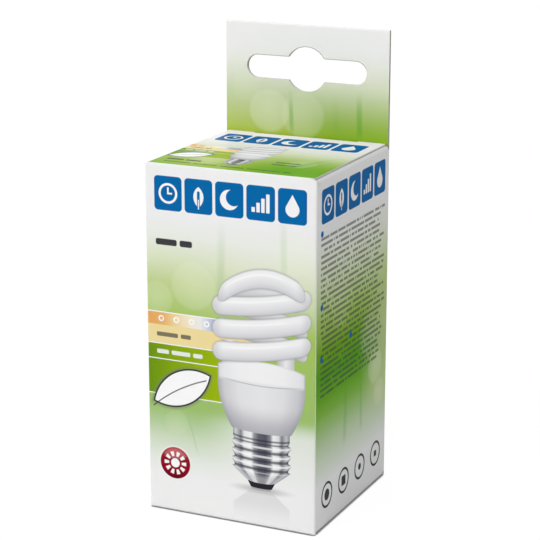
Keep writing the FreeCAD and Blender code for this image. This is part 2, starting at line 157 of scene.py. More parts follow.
class Tree:
    """Adds nodes to one material or one geometry tree."""

    def __init__(self, nodes_of):
        self.nodes_of = nodes_of

    def node(self, kind, settings=None, inputs=None, out=0):
        """Adds a node, with its settings first and then its socket values or links."""
        made = self.nodes_of.nodes.new(kind)
        for name, setting in (settings or {}).items():
            if name == "stops":
                self.set_stops(made.color_ramp, setting)
            else:
                setattr(made, name, setting)
        for key, item in (inputs or {}).items():
            if isinstance(item, Field):
                self.nodes_of.links.new(item.socket, made.inputs[key])
            else:
                made.inputs[key].default_value = item
        return Field(self, made.outputs[out]) if made.outputs else made

    def set_stops(self, ramp, stops):
        while len(ramp.elements) < len(stops):
            ramp.elements.new(0.5)
        for element, (place, colour) in zip(ramp.elements, stops):
            element.position, element.color = place, colour

    def split(self, vector):
        """The x, y and z of a vector."""
        parts = self.node("ShaderNodeSeparateXYZ", {}, {0: vector}).socket.node.outputs
        return [Field(self, part) for part in parts]

    def vector(self, operation, *items, out=0):
        return self.node("ShaderNodeVectorMath", {"operation": operation}, dict(enumerate(items)), out)

    def mix(self, share, first, second):
        return self.node("ShaderNodeMix", {"data_type": "RGBA"}, {0: share, 6: first, 7: second}, 2)


class Finish(Tree):
    """A material whose nodes read Object coordinates in millimetres."""

    def __init__(self, name):
        self.material = bpy.data.materials.new(name)
        self.material.use_nodes = True
        self.material.node_tree.nodes.clear()
        super().__init__(self.material.node_tree)
        metres = self.node("ShaderNodeTexCoord", {}, {}, "Object")
        self.place = self.vector("MULTIPLY", metres, (1 / MM,) * 3)
        self.x, self.y, self.z = self.split(self.place)

    def noise(self, scale, detail=2.0, stretch=(1, 1, 1)):
        """Soft noise with scale features to a millimetre."""
        where = self.vector("MULTIPLY", self.place, stretch)
        return self.node("ShaderNodeTexNoise", {}, {"Vector": where, "Scale": scale, "Detail": detail})

    def bump(self, height, depth, strength):
        """A normal raised by height, with a depth in millimetres."""
        inputs = {"Height": height, "Distance": depth * MM, "Strength": strength}
        return self.node("ShaderNodeBump", {}, inputs)

    def close(self, **sockets):
        """Ends the material with a Principled shader that has the given sockets."""
        inputs = {name.replace("_", " "): item for name, item in sockets.items()}
        surface = self.node("ShaderNodeBsdfPrincipled", {}, inputs)
        self.node("ShaderNodeOutputMaterial", {}, {0: surface})
        return self.material


class Plane:
    """Flat millimetre coordinates on a panel, and the shapes drawn on it as signed distances."""

    def __init__(self, tree, u, v):
        self.tree, self.u, self.v = tree, u, v
        self.point = tree.node("ShaderNodeCombineXYZ", {}, {0: u, 1: v})

    def scaled(self, x, y, scale):
        """The same panel measured from another origin at another scale."""
        return Plane(self.tree, (self.u - x) / scale, (self.v - y) / scale)

    def disc(self, x, y, radius):
        return self.tree.vector("DISTANCE", self.point, (x, y, 0), out=1) - radius

    def slab(self, left, low, right, high, corner):
        """A rounded rectangle."""
        middle = ((left + right) / 2, (low + high) / 2, 0)
        core = ((right - left) / 2 - corner, (high - low) / 2 - corner, 0)
        away = self.tree.vector("ABSOLUTE", self.tree.vector("SUBTRACT", self.point, middle))
        out = self.tree.vector("MAXIMUM", self.tree.vector("SUBTRACT", away, core), (0, 0, 0))
        return self.tree.vector("LENGTH", out, out=1) - corner


class Print(Finish):
    """Inks laid one over another on coated board."""

    def __init__(self, name, across, up, ground):
        super().__init__(name)
        axes = {"x": self.x, "y": self.y, "z": self.z}
        self.flat = Plane(self, across(axes), up(axes))
        self.colour = ground(self.flat)

    def ink(self, colour, share):
        """Covers a share of what is there with a colour."""
        self.colour = self.mix(share, self.colour, colour)

    def draw(self, colour, distance, soft=0.06, strength=1.0):
        """Inks the inside of a shape."""
        self.ink(colour, distance.fade(soft, -soft, 0.0, strength))

    def board(self, folds):
        """Pale worn folds, then the varnished board."""
        worn = self.noise(0.9, 3.0)
        self.ink(PAPER_WHITE, folds.fade(0.34, 0.08) * worn.fade(0.25, 0.5, 0.55, 0.95))
        fibre = self.noise(2.2, 4.0)
        rough = fibre.fade(0.3, 0.7, 0.34, 0.46)
        return self.close(Base_Color=self.colour, Roughness=rough, Specular_IOR_Level=0.004,
                          Coat_Weight=0.05, Coat_Roughness=0.2, Normal=self.bump(fibre, 0.012, 0.5))


# Fields of colour

def front_ground(flat):
    """White at head and foot, green between, paler to the right."""
    tall = flat.v.ramp(
        (0, grey(237)), (10, grey(236)), (14, paint(226, 231, 223)), (20, paint(201, 215, 187)),
        (24, paint(174, 201, 150)), (28, paint(154, 188, 108)), (50, paint(162, 192, 92)),
        (55, paint(172, 197, 116)), (60, paint(188, 205, 140)), (66, paint(213, 222, 188)),
        (72, paint(229, 232, 223)), (77, grey(235)), (90, grey(236)))
    low = flat.u.fade(13, 30) * flat.v.fade(30, 24) * 0.7
    high = flat.u.fade(6, 34, 0.0, 0.3) * flat.v.fade(50, 60) * flat.v.fade(84, 70)
    return flat.tree.mix(low.most(high), tall, grey(236))


def side_ground(flat):
    """White at head and foot, deep green between, paler to the right."""
    tall = flat.v.ramp(
        (0, grey(237)), (12, grey(236)), (16, paint(218, 227, 212)), (22, paint(190, 210, 172)),
        (26, paint(160, 197, 126)), (30, paint(130, 182, 70)), (34, paint(102, 168, 28)),
        (40, paint(82, 158, 2)), (46, paint(112, 166, 12)), (54, paint(162, 192, 98)),
        (62, paint(202, 216, 174)), (70, paint(226, 230, 216)), (76, grey(236)), (90, grey(237)))
    pale = flat.u.fade(26, 44) * flat.v.fade(16, 28) * flat.v.fade(66, 44)
    return flat.tree.mix(pale * 0.62, tall, paint(212, 218, 172))


def tab_ground(flat):
    """Green at the foot, deeper to the right, and white at the head."""
    tall = flat.v.ramp(
        (90, paint(168, 191, 66)), (92, paint(176, 197, 96)), (95, paint(187, 205, 127)),
        (100, paint(198, 212, 165)), (104, paint(216, 223, 197)), (109, paint(231, 234, 225)),
        (113, grey(237)), (119, grey(238)))
    deep = flat.u.fade(12, 32) * flat.v.fade(104, 88)
    return flat.tree.mix(deep * 0.75, tall, paint(122, 172, 22))


def lid_ground(flat):
    """Green at the crease, deeper at its corners, and white at the tab, with a painted pink tint there that
    cancels the green light the tab bounces onto the lid.
    """
    long = flat.v.ramp(
        (0, paint(140, 180, 36)), (4, paint(156, 186, 62)), (10, paint(172, 194, 92)),
        (17, paint(192, 208, 136)), (23, paint(211, 220, 188)), (28, paint(228, 231, 222)),
        # Painted light: the pink at the tab end offsets the green light bounced from the tab.
        (33, grey(236)), (46, paint(244, 236, 247)))
    deep = flat.u.fade(16, 34) * flat.v.fade(25, 5)
    edge = flat.u.fade(12, 2) * flat.v.fade(16, 5) * 0.4
    return flat.tree.mix((deep * 0.9).most(edge), long, paint(98, 164, 4))


def plain_ground(flat):
    """Nearly even white."""
    return flat.v.ramp((-30, grey(235)), (30, grey(237)))


def soft_lights(art, spots, streaks):
    """Pale spots of (x, y, radius, strength), and streaks of (x, slant, half, low, high, strength)."""
    pale, green = paint(232, 240, 206), paint(86, 164, 40)
    for x, y, radius, strength in spots:
        distance = art.flat.disc(x, y, radius)
        art.draw(pale, distance, 0.3 + 0.06 * radius, strength * 0.45)
        art.ink(pale, distance.fade(0.3, -radius) * strength * 0.4)
    for x, slant, half, low, high, strength in streaks:
        lean = art.flat.u - x - (art.flat.v - low) * slant
        band = abs(lean).fade(half, half * 0.2)
        span = art.flat.v.fade(low - 1, low + 3) * art.flat.v.fade(high, low + (high - low) * 0.4)
        art.ink(green, band * span * strength)


# Motifs

PICTURED_NECK = 15.8


def sign_row(art, left, low, width, tall):
    """Five blue tiles, each with a plain white sign: clock, leaf, moon, scale and drop."""
    signs = (clock_sign, leaf_sign, moon_sign, scale_sign, drop_sign)
    step = width / len(signs)
    gap = 0.09 * step
    tile = step - gap
    for i, sign in enumerate(signs):
        start = left + i * (tile + gap) + gap / 2
        art.draw(INK_BLUE, art.flat.slab(start, low, start + tile, low + tall, 1.0))
        art.draw(grey(240), sign(art.flat.scaled(start + tile / 2, low + tall / 2, tile)), 0.008)


def clock_sign(plane):
    hands = plane.slab(-0.03, -0.02, 0.03, 0.2, 0.01).least(plane.slab(-0.03, -0.03, 0.15, 0.03, 0.01))
    return (abs(plane.disc(0, 0, 0.3)) - 0.04).least(hands)


def leaf_sign(plane):
    lens = plane.disc(-0.22, -0.02, 0.4).most(plane.disc(0.22, -0.02, 0.4))
    vein = plane.slab(-0.018, -0.42, 0.018, 0.14, 0.01)
    return lens.most(0.03 - vein).least(vein.most(plane.v + 0.1))


def moon_sign(plane):
    return plane.disc(0, 0, 0.33).most(-plane.disc(0.15, 0.08, 0.27))


def scale_sign(plane):
    bars = None
    for i in range(4):
        bar = plane.slab(-0.32 + 0.17 * i, -0.3, -0.2 + 0.17 * i, -0.14 + 0.15 * i, 0.02)
        bars = bar if bars is None else bars.least(bar)
    return bars


def drop_sign(plane):
    cone = (abs(plane.u) * 0.87 + (plane.v - 0.38) * 0.5).most(-0.02 - plane.v)
    return plane.disc(0, -0.1, 0.24).least(cone)


def sun_badge(art, x, y, radius):
    """A glossy red disc with a small sun."""
    flat = art.flat
    art.draw(grey(240), flat.disc(x, y, radius + 0.35), 0.3, 0.75)
    shade = (flat.v - y).ramp((-radius, paint(104, 2, 22)), (-0.2 * radius, INK_RED),
                              (0.25 * radius, paint(140, 20, 36)), (radius, paint(186, 74, 80)))
    art.draw(shade, flat.disc(x, y, radius))
    gleam = flat.disc(x, y + 1.5 * radius, 1.25 * radius).most(flat.disc(x, y, 0.9 * radius))
    art.draw(paint(226, 150, 150), gleam, 0.2, 0.3)
    rays = 10
    turn = art.node("ShaderNodeMath", {"operation": "ARCTAN2"}, {0: flat.v - y, 1: flat.u - x})
    ray = abs((turn * (rays / (2 * math.pi))).part() - 0.5).fade(0.2, 0.26)
    out = flat.disc(x, y, 0.0)
    art.ink(grey(244), ray * out.fade(0.4 * radius, 0.46 * radius) * out.fade(0.76 * radius, 0.7 * radius))
    art.draw(grey(246), flat.disc(x, y, 0.29 * radius), 0.08)


def printed_lines(art, left, low, right, high, pitch, colour, strength=0.8, dash=0.55):
    """Rows of tiny dashes with uneven ends."""
    flat = art.flat
    line = (high - flat.v) / pitch
    row, level = line.floor(), line.part()
    cast = art.node("ShaderNodeTexWhiteNoise", {"noise_dimensions": "1D"}, {"W": row + 3.5})
    run = flat.u / dash + cast * 40
    cell = art.node("ShaderNodeCombineXYZ", {}, {0: run.floor(), 1: row})
    chance = art.node("ShaderNodeTexWhiteNoise", {"noise_dimensions": "2D"}, {"Vector": cell})
    stroke = run.part().fade(0.02, 0.24) * chance.above(0.16)
    tall = level.fade(0.24, 0.32) * level.fade(0.8, 0.7)
    ends = flat.slab(left, low, right, high, 0.1).most(flat.u - right + cast * (0.12 * (right - left)))
    art.ink(colour, stroke * tall * ends.fade(0.05, -0.05) * strength)


def tube_turn(plane, level, rise, half, radius, sag):
    """One sloping turn of tube with round ends: its distance, and -1 to 1 across it."""
    share = plane.u / half
    across = plane.v - (level + rise * share - sag * share * share)
    beyond = (abs(plane.u) - (half - radius)).most(0.0)
    return (beyond * beyond + across * across).root() - radius, across / radius


def tube_shade(across, dim=0):
    """Tones across a tube, from its lower side to its upper."""
    return across.ramp(
        (-1, grey(184 - dim, 5)), (-0.82, grey(206 - dim, 4)), (-0.45, grey(220 - dim, 3)),
        (0, grey(229 - dim, 2)), (0.35, grey(237 - dim, 1)), (0.8, grey(237 - dim, 1)),
        (1, grey(198 - dim, 5)))


def pictured_lamp(art, x, foot, scale=1.0):
    """A plain spiral lamp drawn in simple shapes, its contact at the foot."""
    plane = art.flat.scaled(x, foot, scale)
    soft = 0.07 / scale
    lamp_ground(art, plane)
    far_turns(art, plane, soft)
    tube_legs(art, plane, soft)
    housing_shapes(art, plane, soft)
    cap_shapes(art, plane, soft)
    near_turns(art, plane, soft)


def far_turns(art, plane, soft):
    """Turns of the tube on the far side."""
    radius, sag, dim = 2.1, 1.0, 18
    for level, rise, half in ((39.9, -2.6, 12.2), (45.7, -2.6, 12.2), (50.7, -1.0, 10.6)):
        distance, across = tube_turn(plane, level, rise, half, radius, sag)
        art.draw(tube_shade(across, dim), distance, soft)
        art.draw(grey(128, 8), abs(distance) - 0.04, soft, 0.4)


def tube_legs(art, plane, soft):
    """The tube's two ends, going down into the cover."""
    radius, low, high = 2.3, 30, 38
    for centre in (-8.4, 6.6):
        shade = ((plane.u - centre) / radius).ramp((-1, grey(186, 5)), (0, grey(232)), (1, grey(190, 5)))
        art.draw(shade, plane.slab(centre - radius, low, centre + radius, high, 0.4), soft)


def near_turns(art, plane, soft):
    """Turns of the tube on the near side, and the crown."""
    radius = 2.45
    for level, rise, half, sag in (
            (36.0, 2.2, 13.2, -1.1), (41.8, 2.2, 13.2, -1.1), (47.6, 2.2, 13.2, -1.1),
            (54.4, 1.2, 11.6, 4.4)):
        distance, across = tube_turn(plane, level, rise, half, radius, sag)
        inside = distance.fade(soft, -soft)
        gleam = abs(across - 0.42).fade(0.2, 0.04) * abs(plane.u + 1.5).fade(0.8 * half, 0.4 * half)
        art.draw(grey(140), distance - 0.25, 0.4, 0.35)
        art.draw(tube_shade(across), distance, soft)
        art.ink(grey(176, 6), abs(plane.u).fade(0.76 * half, half) * inside * 0.45)
        art.ink(grey(252), gleam * inside * 0.45)
        art.draw(grey(112, 10), abs(distance) - 0.04, soft, 0.5)


def lamp_ground(art, plane):
    """Soft shadow and faint reflection under the pictured lamp."""
    u, v = plane.u, plane.v
    across, up = u / 10.5, (v - 0.1) / 1.5
    art.ink(grey(140), (across * across + up * up).root().fade(1.0, 0.1) * 0.55)
    mirrored = (abs(u) - (2.8 - v * 1.2).least(7.7)).fade(0.3, -0.3)
    art.ink(grey(150), mirrored * v.fade(0.0, -0.8) * v.fade(-9.0, -2.0) * 0.22)


def near_rim(u, radius):
    """How far the near side of a round rim hangs below its ends, seen a little from above."""
    tilt = 0.12
    return (radius * radius - u * u).most(0.0).root() * tilt


def housing_shapes(art, plane, soft):
    """Tube cover and ballast bowl."""
    u, v = plane.u, plane.v
    shoulder, top, widest, narrowest = 27.4, 33.4, 11.8, 8.2
    foot = v + near_rim(u, narrowest)
    down = (v - shoulder).least(0.0) / (shoulder - PICTURED_NECK)
    wide = widest - (widest - narrowest) * (down * down)
    bowl = (abs(u) - wide).most(PICTURED_NECK - foot).most(v - top + (u * u) * 0.012)
    shade = (u / wide).ramp(
        (-1, grey(172, 6)), (-0.86, grey(204, 4)), (-0.5, grey(224, 3)), (0, grey(228, 2)),
        (0.5, grey(222, 2)), (0.86, grey(198, 5)), (1, grey(170, 7)))
    art.draw(shade, bowl, soft)
    seam = abs(v - 27.2 - (u * u) * 0.008) - 0.1
    art.draw(grey(166, 6), seam.most(bowl), soft, 0.9)
    art.ink(grey(250), v.fade(shoulder, shoulder + 1) * bowl.fade(soft, -0.6) * 0.5)
    art.ink(grey(150, 8), foot.fade(23.5, 15.6) * bowl.fade(soft, -soft) * 0.7)


def cap_shapes(art, plane, soft):
    """Ridged metal cap, contact and dark insulator."""
    u, v = plane.u, plane.v
    foot, barrel, pitch = 2.2, 7.7, 2.3
    cone = 3.7 + (v - foot) * 1.25
    level = v + near_rim(u, cone.least(barrel))
    ridge = ((level - 5.2) * (2 * math.pi / pitch)).cosine() * level.fade(13.6, 13.0)
    wide = (barrel + ridge * 0.4).least(cone)
    metal = (u / wide).ramp(
        (-1, grey(140, 6)), (-0.92, grey(206, 4)), (-0.72, grey(128, 8)), (-0.6, grey(226, 2)),
        (-0.36, grey(240)), (-0.26, grey(150, 8)), (-0.1, grey(96, 10)), (0.16, grey(84, 12)),
        (0.32, grey(132, 9)), (0.42, grey(236)), (0.6, grey(220, 2)), (0.72, grey(124, 8)),
        (0.88, grey(190, 4)), (1, grey(130, 6)))
    shape = (abs(u) - wide).most(foot - level).most(level - PICTURED_NECK)
    art.draw(metal, shape, soft)
    inside = shape.fade(soft, -soft)
    rolled = level.fade(5.0, 5.6) * level.fade(13.6, 13.2) * inside
    art.ink(grey(58, 12), ridge.fade(-0.1, -0.95) * rolled * 0.78)
    art.ink(grey(250), ridge.fade(0.5, 0.98) * rolled * 0.62)
    art.ink(grey(50, 12), abs(level - 14.0).fade(0.4, 0.1) * inside * 0.7)
    art.ink(grey(186, 4), level.fade(5.2, 3.6) * inside * 0.5)
    contact = 2.6
    tip = v + near_rim(u, contact)
    art.draw(grey(168, 4), (abs(u) - contact).most(0.2 - tip).most(tip - 1.0), soft)
    ring = v + near_rim(u, 3.2)
    art.draw(grey(40, 6), (abs(u) - (2.5 + v * 0.55)).most(0.8 - ring).most(ring - foot), soft)


def colour_stripes(art, left, low, scale, right):
    """A warm to cool scale over a cream stripe over a green field, with plain marks on them."""
    plane = art.flat.scaled(left, low, scale)
    u, v, soft = plane.u, plane.v, 0.06 / scale
    end = right / scale

    def stripe(colour, foot, top):
        art.draw(colour, (foot - v).most(v - top).most(u - end), soft)

    stripe(u.ramp((0, LEAF), (9, paint(134, 166, 16)), (24, LIME)), 0.0, 13.2)
    stripe(u.ramp((0, CREAM), (24, paint(236, 216, 154))), 13.2, 18.1)
    stripe(u.ramp((0, ORANGE), (4.6, paint(228, 172, 104)), (7.4, paint(234, 206, 148)),
                  (12, paint(238, 228, 204)), (15, grey(232)), (18.4, paint(176, 182, 210)), (24, VIOLET)),
           18.1, 21.4)
    for level in (0.0, 9.2, 13.2, 21.4):
        stripe(grey(244), level - 0.13, level + 0.13)
    for place in (4.0, 8.2, 12.4, 16.6):
        art.draw(grey(248), abs(plane.disc(place, 19.75, 0.62)) - 0.17, soft)
    for colour, strength, foot, bars in (
            (grey(240), 0.85, 10.6, ((2.7, 6.0), (6.8, 12.0), (12.8, 15.4))),
            (INK_DARK, 0.8, 15.1, ((2.7, 8.6), (9.4, 12.2)))):
        for start, stop in bars:
            art.draw(colour, plane.slab(start, foot, stop, foot + 1.1, 0.3), soft, strength)
    leaf_emblem(art, art.flat.scaled(left + 9.6 * scale, low + 2.2 * scale, scale), soft)


def leaf_emblem(art, plane, soft):
    """A white leaf with a dark rim, lying across the foot of the stripes."""
    along, up = (plane.u * 0.88 + plane.v * 0.47), (plane.v * 0.88 - plane.u * 0.47)
    leaf = Plane(art, along, up)
    blade = leaf.disc(0, -7.1, 11.2).most(leaf.disc(0, 7.1, 11.2))
    art.draw(grey(110), blade - 0.9, 0.6, 0.45)
    art.draw(INK_DARK, blade - 0.45, soft)
    art.draw(grey(246), blade, soft)
    stem = abs(up + (along * along) * 0.012)
    art.draw(INK_DARK, (stem - 0.16).most(abs(along + 1.2) - 8.6), soft, 0.9)


# Printed panels

def wall_folds(art):
    """Distance to a wall's upright folds and its top edge."""
    return art.flat.u.least(WIDTH - art.flat.u).least(LID_TOP - art.flat.v)


def front_print():
    """Front and back panels, each the right way round."""
    art = Print("front_print", lambda at: HALF_WIDTH - at["x"] * at["y"].sign(),
                lambda at: at["z"], front_ground)
    soft_lights(art, spots=((13, 60, 6.0, 0.4), (3, 56, 4.2, 0.35), (40, 71, 5.5, 0.25), (8, 24, 3.2, 0.2)),
                streaks=((20.5, 0.02, 1.6, 58, 80, 0.16), (37.5, -0.015, 1.3, 64, 84, 0.14),
                         (14, -0.28, 0.35, 16, 29, 0.2)))
    colour_stripes(art, left=0, low=31.0, scale=1.0, right=31)
    pictured_lamp(art, x=31.4, foot=9.6)
    sign_row(art, left=2.2, low=78.4, width=41.6, tall=8.6)
    sun_badge(art, x=7.4, y=13.0, radius=4.2)
    for left, right in ((2.8, 8.6), (9.4, 12.8)):
        art.draw(INK_DARK, art.flat.slab(left, 69.6, right, 71.2, 0.5))
    return art.board(wall_folds(art))


def side_print():
    """Right and left panels, each the right way round."""
    art = Print("side_print", lambda at: HALF_DEPTH + at["y"] * at["x"].sign(),
                lambda at: at["z"], side_ground)
    soft_lights(art, spots=((38, 33, 4.6, 0.5), (33, 43, 5.5, 0.25), (41, 25, 3.6, 0.4), (15, 56, 6, 0.2)),
                streaks=((18, 0.05, 1.6, 18, 46, 0.25), (29, -0.04, 1.2, 18, 44, 0.25)))
    sign_row(art, left=2.4, low=78.2, width=41.2, tall=8.5)
    printed_lines(art, left=2.6, low=34.4, right=43.6, high=75.4, pitch=1.46, colour=grey(64))
    for x, y in ((3.2, 75.9), (3.2, 57.7), (21.4, 46.0), (3.2, 44.6)):
        art.draw(INK_BLUE, art.flat.disc(x, y, 0.8))
    level, ring = 8.4, 3.1
    for x in (7.2, 17.8, 28.4, 39.0):
        art.draw(INK_DARK, abs(art.flat.disc(x, level, ring)) - 0.32)
    for x, radius in ((7.2, 1.5), (28.4, 0.9)):
        art.draw(INK_DARK, art.flat.disc(x, level, radius))
    for x, half in ((17.8, 1.3), (39.0, 0.8)):
        art.draw(INK_DARK, art.flat.slab(x - half, level - half, x + half, level + half, 0.2))
    return art.board(wall_folds(art))


def tab_print():
    """Front of the hang tab, with a thin line of painted shade at the slot's upper rim, in place of the
    rear ply's shaded edge.
    """
    art = Print("tab_print", lambda at: at["x"] + HALF_WIDTH, lambda at: at["z"], tab_ground)
    soft_lights(art, spots=((12.5, 96, 5.6, 0.6), (22.0, 95.5, 6.0, 0.4), (6, 102, 4, 0.2)),
                streaks=((19.0, -0.04, 0.9, 90, 103, 0.4), (31.5, -0.03, 1.5, 90, 103, 0.1),
                         (38.0, -0.02, 1.2, 90, 104, 0.45)))
    arms = art.flat.slab(HALF_WIDTH - SLOT_HALF, SLOT_LEVEL - SLOT_WIDE / 2, HALF_WIDTH + SLOT_HALF,
                         SLOT_LEVEL + SLOT_WIDE / 2, SLOT_WIDE / 2)
    slot = arms.least(art.flat.disc(HALF_WIDTH, SLOT_LEVEL, SLOT_EYE))
    # Painted shade: a thin brown-grey line along the slot's upper rim, standing in for the rear ply's edge
    # in shadow.
    upper = (art.flat.v - SLOT_LEVEL - (art.flat.u - HALF_WIDTH) * 0.06).fade(-0.6, 1.2)
    art.ink(paint(112, 104, 92), slot.fade(0.24, 0.1) * upper * 0.7)
    return art.board((TAB_TOP - art.flat.v) + 0.2)


def lid_print():
    """Top of the lid: the front's motifs at a smaller scale."""
    art = Print("lid_print", lambda at: at["x"] + HALF_WIDTH, lambda at: at["y"] + HALF_DEPTH, lid_ground)
    soft_lights(art, spots=((36, 13, 4.0, 0.3), (13, 8, 4.6, 0.3)),
                streaks=((31, 0.5, 1.3, 1, 24, 0.5), (35, 0.45, 0.7, 1, 22, 0.45)))
    colour_stripes(art, left=0.4, low=11.0, scale=0.62, right=20)
    pictured_lamp(art, x=20.5, foot=6.0, scale=0.42)
    sign_row(art, left=2.6, low=31.4, width=40.6, tall=9.0)
    printed_lines(art, left=3.0, low=2.4, right=38.0, high=4.2, pitch=1.7, colour=grey(60),
                  strength=0.75, dash=0.8)
    for left, right in ((3.0, 7.6), (8.2, 12.4)):
        art.draw(INK_DARK, art.flat.slab(left, 5.6, right, 6.9, 0.4), strength=0.85)
    for low in (10.0, 12.4):
        art.draw(INK_DARK, art.flat.slab(29.4, low, 36.0, low + 0.9, 0.3), strength=0.75)
    return art.board(art.flat.v.least(HALF_DEPTH + TAB_FACE - art.flat.v))


def plain_print(name):
    """Coated white board with no design: flaps, tuck and base."""
    art = Print(name, lambda at: at["x"], lambda at: at["y"], plain_ground)
    return art.board(HALF_WIDTH - abs(art.flat.u))


def inside_board():
    """Uncoated back of the board, grey with short fibres."""
    make = Finish("inside_board")
    fibre, cloud = make.noise(2.4, 6.0, (1, 1, 0.35)), make.noise(0.12, 3.0)
    tone = make.mix(cloud.fade(0.3, 0.7), paint(204, 198, 187), paint(198, 191, 180))
    speck = make.mix(fibre.fade(0.58, 0.7) * 0.4, tone, paint(150, 141, 128))
    return make.close(Base_Color=speck, Roughness=fibre.fade(0.2, 0.8, 0.78, 0.92),
                      Specular_IOR_Level=0.2, Normal=make.bump(fibre, 0.03, 0.6))


def cut_edge():
    """Die-cut edge: brown-grey core, pale coatings, a dark line between glued plies, and painted light on
    the hang slot's lower cut faces.
    """
    make = Finish("cut_edge")
    fibre = make.noise(3.0, 5.0)
    core = make.mix(fibre.fade(0.3, 0.7), paint(186, 180, 170), paint(160, 152, 140))
    ply = abs(make.y - (HALF_DEPTH - BOARD))
    on_tab = make.z.above(LID_TOP - 0.5)
    tone = make.mix(ply.fade(0.09, 0.03) * on_tab * 0.5, core, paint(120, 112, 100))
    tone = make.mix(ply.fade(BOARD - 0.1, BOARD - 0.02) * on_tab * 0.6, tone, grey(222))
    # Painted light: the cut faces at the foot of the hang slot are painted pale, as if lit from above.
    sill_painted_lit = make.z.fade(SLOT_LEVEL + 0.6, SLOT_LEVEL - 1.2) * make.z.above(LID_TOP + 1)
    in_slot = abs(make.x).fade(HALF_WIDTH - 4, HALF_WIDTH - 5)
    tone = make.mix(sill_painted_lit * in_slot * 0.8, tone, grey(222))
    coating = make.z.fade(LID_TOP - 0.28, LID_TOP - 0.16) * make.y.fade(TAB_FACE, TAB_FACE - 0.1)
    tone = make.mix(coating * 0.85, tone, grey(232))
    return make.close(Base_Color=tone, Roughness=fibre.fade(0.2, 0.8, 0.8, 0.95),
                      Specular_IOR_Level=0.2, Normal=make.bump(fibre, 0.04, 0.6))


# Lamp finishes

def coated_glass():
    """White powder seen through smooth glass."""
    make = Finish("coated_glass")
    powder = make.noise(0.5, 5.0)
    tone = make.mix(powder.fade(0.3, 0.7), paint(240, 240, 236), paint(232, 232, 229))
    return make.close(Base_Color=tone, Roughness=powder.fade(0.2, 0.8, 0.16, 0.24), Coat_Weight=0.6,
                      Coat_Roughness=0.05, Subsurface_Weight=0.12, Subsurface_Scale=0.002)


def moulded_plastic():
    """White plastic with a fine spark texture."""
    make = Finish("moulded_plastic")
    spark = make.noise(4.0, 3.0)
    tone = make.mix(make.noise(0.08).fade(0.3, 0.7), paint(236, 235, 230), paint(229, 228, 222))
    return make.close(Base_Color=tone, Roughness=spark.fade(0.2, 0.8, 0.34, 0.48),
                      Normal=make.bump(spark, 0.01, 0.4))


def cap_metal():
    """Plated sheet, drawn round the axis."""
    make = Finish("cap_metal")
    drawn = make.noise(0.8, 4.0, (0.15, 0.15, 6))
    tone = make.mix(drawn.fade(0.3, 0.7), paint(206, 206, 204), paint(184, 185, 186))
    return make.close(Base_Color=tone, Metallic=1.0, Roughness=drawn.fade(0.2, 0.8, 0.2, 0.36),
                      Normal=make.bump(drawn, 0.01, 0.3))


def cap_insulator():
    """Dark poured glass."""
    make = Finish("cap_insulator")
    melt = make.noise(0.7, 3.0)
    tone = make.mix(melt.fade(0.3, 0.7), grey(30), grey(44))
    return make.close(Base_Color=tone, Roughness=melt.fade(0.2, 0.8, 0.12, 0.24),
                      Normal=make.bump(melt, 0.05, 0.5))


def contact_metal():
    """Dull scratched metal."""
    make = Finish("contact_metal")
    scratch = make.noise(1.4, 5.0, (4, 0.4, 1))
    tone = make.mix(scratch.fade(0.35, 0.7), paint(176, 172, 160), paint(140, 136, 126))
    return make.close(Base_Color=tone, Metallic=1.0, Roughness=scratch.fade(0.2, 0.8, 0.28, 0.5))


# Board pieces

def add_object(name, data):
    """A new object in the scene."""
    piece = bpy.data.objects.new(name, data)
    bpy.context.scene.collection.objects.link(piece)
    return piece


def mesh_from(shape, name, materials):
    """The mesh of a finished bmesh, with its materials."""
    mesh = bpy.data.meshes.new(name)
    shape.to_mesh(mesh)
    shape.free()
    for material in materials:
        mesh.materials.append(material)
    return mesh


def crisp_folds(shape):
    """Draws the four upright folds to a tighter radius within the same corners."""
    shift, close, slack = FOLD - CRISP_FOLD, 0.01, 0.001
    for vert in shape.verts:
        x, y = vert.co.x / MM, vert.co.y / MM
        across, along = abs(x) - (HALF_WIDTH - FOLD), abs(y) - (HALF_DEPTH - FOLD)
        reach = math.hypot(across, along)
        on_fold = min(abs(reach - FOLD), abs(reach - FOLD + BOARD)) < close
        if on_fold and min(across, along) > -slack:
            vert.co.x += math.copysign(shift * (1 - across / reach), x) * MM
            vert.co.y += math.copysign(shift * (1 - along / reach), y) * MM


def merged_copy(node, name, materials, side_of, reshape=None):
    """A copy of a CAD node with its doubles merged and a material for each side."""
    shape = bmesh.new()
    shape.from_mesh(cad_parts[node].data)
    bmesh.ops.remove_doubles(shape, verts=shape.verts, dist=WELD)
    if reshape:
        reshape(shape)
        shape.normal_update()
    order, flat, sharp = list(materials), 0.9995, math.radians(40)
    for face in shape.faces:
        normal = face.normal
        face.material_index = order.index(side_of(face.calc_center_median() / MM, normal))
        face.smooth = max(map(abs, normal)) < flat
    for edge in shape.edges:
        edge.smooth = edge.calc_face_angle(math.pi) < sharp
    return add_object(name, mesh_from(shape, name, materials.values()))


def carton_side(at, normal):
    """The side that a face of the carton belongs to, from its middle and its normal."""
    skin, tab_reach, tab_rim, flap_drop, rim_drop, fold_room = 0.3, 2, 1, 1.2, 1.1, 0.7
    leaning, square, steep = 0.5, 0.6, 0.8
    if at.z > LID_TOP - skin and at.y > HALF_DEPTH - tab_reach:
        if abs(normal.x) > leaning or (at.z < TAB_TOP - tab_rim and abs(normal.y) < leaning):
            return "edge"
        return "tab" if normal.y < 0 else "front"
    wall = PLIES if at.y < 0 else skin
    if abs(normal.y) > square and normal.y * at.y > 0 and abs(at.y) > HALF_DEPTH - wall:
        return "front"
    if abs(normal.x) > square and normal.x * at.x > 0 and abs(at.x) > HALF_WIDTH - PLIES:
        return "side"
    if normal.z > leaning and at.z > LID_TOP - flap_drop and abs(at.y) < HALF_DEPTH - fold_room:
        return "plain"
    if normal.z < -leaning and at.z < fold_room:
        return "plain"
    if at.z > LID_TOP - rim_drop and abs(normal.z) < steep:
        return "edge"
    return "inside"


